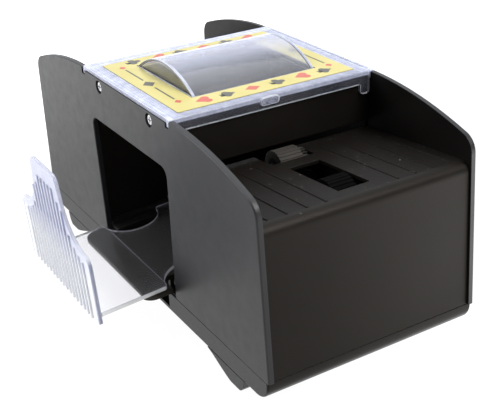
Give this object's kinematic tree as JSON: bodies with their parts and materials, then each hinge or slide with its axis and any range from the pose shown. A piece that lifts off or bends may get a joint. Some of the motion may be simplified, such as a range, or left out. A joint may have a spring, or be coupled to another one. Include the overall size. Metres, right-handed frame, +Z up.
{
  "type": "automatic card shuffler",
  "caption": "Battery-powered tabletop card shuffler with two card trays, motor-driven feed rollers, a clear domed lid and a clear sliding drawer in front.",
  "frame": {"origin": "centre of the footprint, on the surface the machine stands on", "axes": "+X along the long side (card trays left and right), -Y is the front with the drawer, +Z up"},
  "size_m": [0.2232, 0.1395, 0.1092],
  "materials": {
    "dark_shell": "fine satin moulded dark grey",
    "dark_inner": "satin moulded near black",
    "clear_plastic": "polished clear acrylic with a cool tint",
    "smoky_clear": "polished lavender clear acrylic",
    "label_paper": "matte printed yellow paper with card suit marks",
    "grip_rubber": "matte grey rubber",
    "wheel_rubber": "matte black rubber",
    "pad_rubber": "matte black rubber",
    "gear_plastic": "dark grey acetal",
    "core_plastic": "grey moulded plastic",
    "steel": "bright turned steel",
    "screw_steel": "nickel plated",
    "spring_steel": "plated spring steel",
    "contact_metal": "bright sheet brass",
    "bush_bronze": "sintered bronze",
    "cell_wrap": "plain shrink sleeve",
    "motor_steel": "zinc plated",
    "motor_cap_white": "moulded nylon"
  },
  "bodies": {
    "housing": {"base_tray": "dark_shell", "front_panel": "dark_shell", "rear_panel": "dark_shell", "panel_screws": "screw_steel", "foot_pads": "pad_rubber", "base_screws": "screw_steel", "lever_pivot_pin": "steel", "battery_cells": "cell_wrap", "battery_end_plates": "contact_metal", "battery_leaf_springs": "spring_steel", "tower_frame": "dark_inner", "drawer_bed": "dark_inner", "lever_spring": "spring_steel", "switch_contacts": "contact_metal", "bracket_screws": "screw_steel", "motor_screws": "screw_steel", "shaft_bushes": "bush_bronze", "right_hopper": "dark_shell", "left_hopper": "dark_shell", "right_drive_bracket": "dark_inner", "left_drive_bracket": "dark_inner", "right_axle_pins": "steel", "left_axle_pins": "steel", "right_motor_can": "motor_steel", "left_motor_can": "motor_steel", "right_motor_cap": "motor_cap_white", "left_motor_cap": "motor_cap_white"},
    "lid": {"clear_lid": "clear_plastic", "lid_label": "label_paper"},
    "drawer": {"card_drawer": "smoky_clear"},
    "press_lever": {"press_lever": "dark_inner", "lever_contact": "contact_metal"},
    "battery_door": {"battery_door": "dark_shell"},
    "right_drive": {"right_drive_gear": "gear_plastic"},
    "right_roller_idler_body": {"right_roller_idler": "gear_plastic"},
    "right_roller": {"right_roller_shaft": "steel", "right_roller_core": "core_plastic", "right_roller_tyre": "grip_rubber", "right_roller_gear": "gear_plastic"},
    "right_feed_idler_body": {"right_feed_idler": "gear_plastic"},
    "right_feed": {"right_feed_shaft": "steel", "right_feed_core": "core_plastic", "right_feed_tyre": "wheel_rubber", "right_feed_gear": "gear_plastic"},
    "right_motor_rotor": {"right_motor_shaft": "steel", "right_motor_pinion": "contact_metal"},
    "left_drive": {"left_drive_gear": "gear_plastic"},
    "left_roller_idler_body": {"left_roller_idler": "gear_plastic"},
    "left_roller": {"left_roller_shaft": "steel", "left_roller_core": "core_plastic", "left_roller_tyre": "grip_rubber", "left_roller_gear": "gear_plastic"},
    "left_feed_idler_body": {"left_feed_idler": "gear_plastic"},
    "left_feed": {"left_feed_shaft": "steel", "left_feed_core": "core_plastic", "left_feed_tyre": "wheel_rubber", "left_feed_gear": "gear_plastic"},
    "left_motor_rotor": {"left_motor_shaft": "steel", "left_motor_pinion": "contact_metal"}
  },
  "joints": [
    {"name": "lid_lift", "type": "slide", "parent": "housing", "child": "lid", "axis": [0, 0, 1], "range_m": [0, 0.06]},
    {"name": "drawer_slide", "type": "slide", "parent": "housing", "child": "drawer", "axis": [0, -0.9968, -0.0802], "range_m": [-0.0335, 0.026]},
    {"name": "lever_press", "type": "hinge", "parent": "housing", "child": "press_lever", "pos_m": [0, 0.006, 0.0171], "axis": [1, 0, 0], "range_deg": [0, 1.6], "stiffness_Nm_per_rad": 1.2, "springref_deg": -2.86, "deforming": ["lever_spring"]},
    {"name": "battery_door_lift", "type": "slide", "parent": "housing", "child": "battery_door", "axis": [0, 0, -1], "range_m": [0, 0.04]},
    {"name": "right_drive_spin", "type": "hinge", "parent": "housing", "child": "right_drive", "pos_m": [0.067, 0, 0.0555], "axis": [0, 1, 0], "continuous": true},
    {"name": "right_roller_idler_spin", "type": "hinge", "parent": "housing", "child": "right_roller_idler_body", "pos_m": [0.05515, 0, 0.06085], "axis": [0, 1, 0], "continuous": true},
    {"name": "right_roller_spin", "type": "hinge", "parent": "housing", "child": "right_roller", "pos_m": [0.0483, 0, 0.0707], "axis": [0, 1, 0], "continuous": true},
    {"name": "right_feed_idler_spin", "type": "hinge", "parent": "housing", "child": "right_feed_idler_body", "pos_m": [0.07839, 0, 0.06066], "axis": [0, 1, 0], "continuous": true},
    {"name": "right_feed_spin", "type": "hinge", "parent": "housing", "child": "right_feed", "pos_m": [0.0845, 0, 0.0704], "axis": [0, 1, 0], "continuous": true},
    {"name": "right_motor_spin", "type": "hinge", "parent": "housing", "child": "right_motor_rotor", "pos_m": [0.0745, 0, 0.04251], "axis": [0, 1, 0], "continuous": true},
    {"name": "left_drive_spin", "type": "hinge", "parent": "housing", "child": "left_drive", "pos_m": [-0.067, 0, 0.0555], "axis": [0, 1, 0], "continuous": true},
    {"name": "left_roller_idler_spin", "type": "hinge", "parent": "housing", "child": "left_roller_idler_body", "pos_m": [-0.05515, 0, 0.06085], "axis": [0, 1, 0], "continuous": true},
    {"name": "left_roller_spin", "type": "hinge", "parent": "housing", "child": "left_roller", "pos_m": [-0.0483, 0, 0.0707], "axis": [0, 1, 0], "continuous": true},
    {"name": "left_feed_idler_spin", "type": "hinge", "parent": "housing", "child": "left_feed_idler_body", "pos_m": [-0.07839, 0, 0.06066], "axis": [0, 1, 0], "continuous": true},
    {"name": "left_feed_spin", "type": "hinge", "parent": "housing", "child": "left_feed", "pos_m": [-0.0845, 0, 0.0704], "axis": [0, 1, 0], "continuous": true},
    {"name": "left_motor_spin", "type": "hinge", "parent": "housing", "child": "left_motor_rotor", "pos_m": [-0.0745, 0, 0.04251], "axis": [0, 1, 0], "continuous": true}
  ],
  "couplings": [
    {"joint": "right_roller_idler_spin", "follows": "right_drive_spin", "ratio": -0.85714},
    {"joint": "right_roller_spin", "follows": "right_drive_spin", "ratio": 1.2},
    {"joint": "right_feed_idler_spin", "follows": "right_drive_spin", "ratio": -0.92308},
    {"joint": "right_feed_spin", "follows": "right_drive_spin", "ratio": 1.2},
    {"joint": "right_motor_spin", "follows": "right_drive_spin", "ratio": -4},
    {"joint": "left_roller_idler_spin", "follows": "left_drive_spin", "ratio": -0.85714},
    {"joint": "left_roller_spin", "follows": "left_drive_spin", "ratio": 1.2},
    {"joint": "left_feed_idler_spin", "follows": "left_drive_spin", "ratio": -0.92308},
    {"joint": "left_feed_spin", "follows": "left_drive_spin", "ratio": 1.2},
    {"joint": "left_motor_spin", "follows": "left_drive_spin", "ratio": -4}
  ]
}
